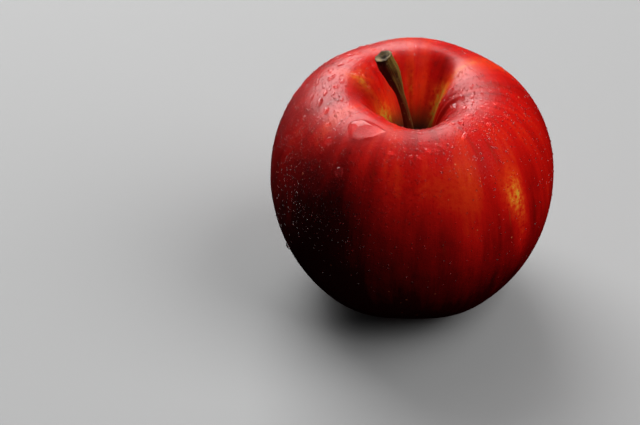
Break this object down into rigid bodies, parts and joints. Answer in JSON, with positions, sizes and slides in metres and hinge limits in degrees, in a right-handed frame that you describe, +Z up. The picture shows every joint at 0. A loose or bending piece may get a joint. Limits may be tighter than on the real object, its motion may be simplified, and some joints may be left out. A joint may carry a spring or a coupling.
{
  "type": "apple",
  "caption": "Whole round eating apple as picked, with a woody stem in the cavity on top and a dried calyx in the basin underneath, resting on the lobes of its base.",
  "frame": {"origin": "middle of the bounding box at the height of the surface that the fruit stands on", "axes": "+Z up along the core, +X to the right and -Y to the front; the stem leans towards -X"},
  "size_m": [0.0752, 0.0743, 0.0732],
  "materials": {
    "skin": "waxy fruit skin, smooth and glossy, deep red over yellow in streaks along the meridians",
    "stem_bark": "dull ridged bark, brown on one side and olive on the other",
    "dried_calyx": "matt, dry and fibrous",
    "water": "clear drops lying on the skin"
  },
  "bodies": {
    "root": {"fruit": "skin", "stem": "stem_bark", "stamens": "dried_calyx", "sepal_1": "dried_calyx", "sepal_2": "dried_calyx", "sepal_3": "dried_calyx", "sepal_4": "dried_calyx", "sepal_5": "dried_calyx"}
  },
  "joints": []
}
